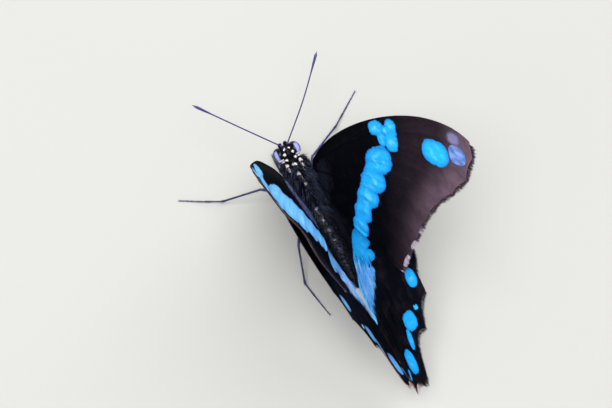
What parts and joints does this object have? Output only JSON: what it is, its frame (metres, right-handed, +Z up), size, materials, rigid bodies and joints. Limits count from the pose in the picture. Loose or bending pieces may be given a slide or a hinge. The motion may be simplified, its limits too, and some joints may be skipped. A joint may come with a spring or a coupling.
{
  "type": "green-banded swallowtail butterfly",
  "caption": "Still life-size model of a green-banded swallowtail butterfly that stands on its feet, with its wings raised and drawn back.",
  "frame": {"origin": "on the floor under the middle of the model's box; the soles of the six feet lie in the plane Z = 0", "axes": "+X towards the animal's left, +Y towards its rear, +Z up"},
  "size_m": [0.0336, 0.0544, 0.0559],
  "materials": {
    "body": "black chitin under fine dark hair and scales, with small white scale spots",
    "wings": "black wing scales with a glossy cyan-blue band and spots above, dark brown beneath",
    "eyes": "glossy dark compound eye",
    "legs_and_feelers": "smooth black chitin with a bluish sheen"
  },
  "bodies": {
    "root": {"thorax": "body", "abdomen": "body", "head": "body", "eye_left": "eyes", "eye_right": "eyes", "palp_left": "body", "palp_right": "body", "proboscis": "legs_and_feelers", "antenna_left": "legs_and_feelers", "antenna_right": "legs_and_feelers", "femur_fore_left": "legs_and_feelers", "femur_fore_right": "legs_and_feelers", "femur_mid_left": "legs_and_feelers", "femur_mid_right": "legs_and_feelers", "femur_hind_left": "legs_and_feelers", "femur_hind_right": "legs_and_feelers", "forewing_left": "wings", "hindwing_left": "wings", "forewing_right": "wings", "hindwing_right": "wings", "tibia_fore_left": "legs_and_feelers", "tarsus_fore_left": "legs_and_feelers", "tibia_fore_right": "legs_and_feelers", "tarsus_fore_right": "legs_and_feelers", "tibia_mid_left": "legs_and_feelers", "tarsus_mid_left": "legs_and_feelers", "tibia_mid_right": "legs_and_feelers", "tarsus_mid_right": "legs_and_feelers", "tibia_hind_left": "legs_and_feelers", "tarsus_hind_left": "legs_and_feelers", "tibia_hind_right": "legs_and_feelers", "tarsus_hind_right": "legs_and_feelers"}
  },
  "joints": []
}
